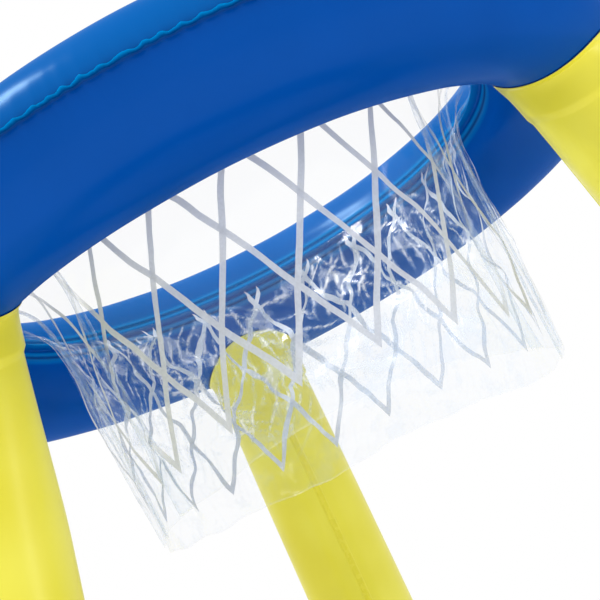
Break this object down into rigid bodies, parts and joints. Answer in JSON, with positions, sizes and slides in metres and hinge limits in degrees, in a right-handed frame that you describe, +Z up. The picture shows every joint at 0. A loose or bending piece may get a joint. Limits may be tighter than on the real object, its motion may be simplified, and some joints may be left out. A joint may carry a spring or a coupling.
{
  "type": "inflatable floating basketball hoop",
  "caption": "Inflatable pool basketball hoop: ring with a clear film net, held up by tubular legs on a larger floating ring, with push-in air valves.",
  "frame": {"origin": "on the surface that the floating ring rests on, under the centre of the whole object", "axes": "+Z up, +Y towards the rear leg, +X to the right seen from the front"},
  "size_m": [0.665, 0.665, 0.5622],
  "materials": {
    "hoop_vinyl": "glossy welded vinyl film, blue",
    "base_vinyl": "glossy welded vinyl film, blue",
    "leg_vinyl": "semi-gloss welded vinyl film, yellow",
    "net_film": "clear crinkled vinyl film",
    "net_print": "white ink printed on the film",
    "valve": "soft translucent moulded vinyl",
    "valve_flap": "clear soft vinyl disc"
  },
  "bodies": {
    "float": {"hoop_upper_panel": "hoop_vinyl", "hoop_lower_panel": "hoop_vinyl", "base_upper_panel": "base_vinyl", "base_lower_panel": "base_vinyl", "leg_rear": "leg_vinyl", "leg_front_left": "leg_vinyl", "leg_front_right": "leg_vinyl", "net_film": "net_film", "net_printed_lattice": "net_print", "hoop_valve_flange": "valve", "hoop_valve_web": "valve", "base_valve_flange": "valve", "base_valve_web": "valve"},
    "hoop_stem": {"hoop_valve_stem": "valve"},
    "hoop_cap": {"hoop_valve_cap": "valve", "hoop_valve_strap": "valve"},
    "hoop_flap": {"hoop_valve_flap": "valve_flap"},
    "base_stem": {"base_valve_stem": "valve"},
    "base_cap": {"base_valve_cap": "valve", "base_valve_strap": "valve"},
    "base_flap": {"base_valve_flap": "valve_flap"}
  },
  "joints": [
    {"name": "hoop_valve_push", "type": "slide", "parent": "float", "child": "hoop_stem", "axis": [-0.433, -0.25, -0.866], "range_m": [0, 0.008], "deforming": ["hoop_valve_web"]},
    {"name": "hoop_cap_hinge", "type": "hinge", "parent": "hoop_stem", "child": "hoop_cap", "pos_m": [0.19283, 0.11133, 0.54857], "axis": [-0.5, 0.866, 0], "range_deg": [0, 110]},
    {"name": "hoop_flap_hinge", "type": "hinge", "parent": "hoop_stem", "child": "hoop_flap", "pos_m": [0.17578, 0.10149, 0.54527], "axis": [-0.5, 0.866, 0], "range_deg": [0, 60], "stiffness_Nm_per_rad": 0.001},
    {"name": "base_valve_push", "type": "slide", "parent": "float", "child": "base_stem", "axis": [0.433, -0.25, -0.866], "range_m": [0, 0.008], "deforming": ["base_valve_web"]},
    {"name": "base_cap_hinge", "type": "hinge", "parent": "base_stem", "child": "base_cap", "pos_m": [-0.2751, 0.15883, 0.09622], "axis": [-0.5, -0.866, 0], "range_deg": [0, 110]},
    {"name": "base_flap_hinge", "type": "hinge", "parent": "base_stem", "child": "base_flap", "pos_m": [-0.25805, 0.14899, 0.09292], "axis": [-0.5, -0.866, 0], "range_deg": [0, 60], "stiffness_Nm_per_rad": 0.001}
  ]
}
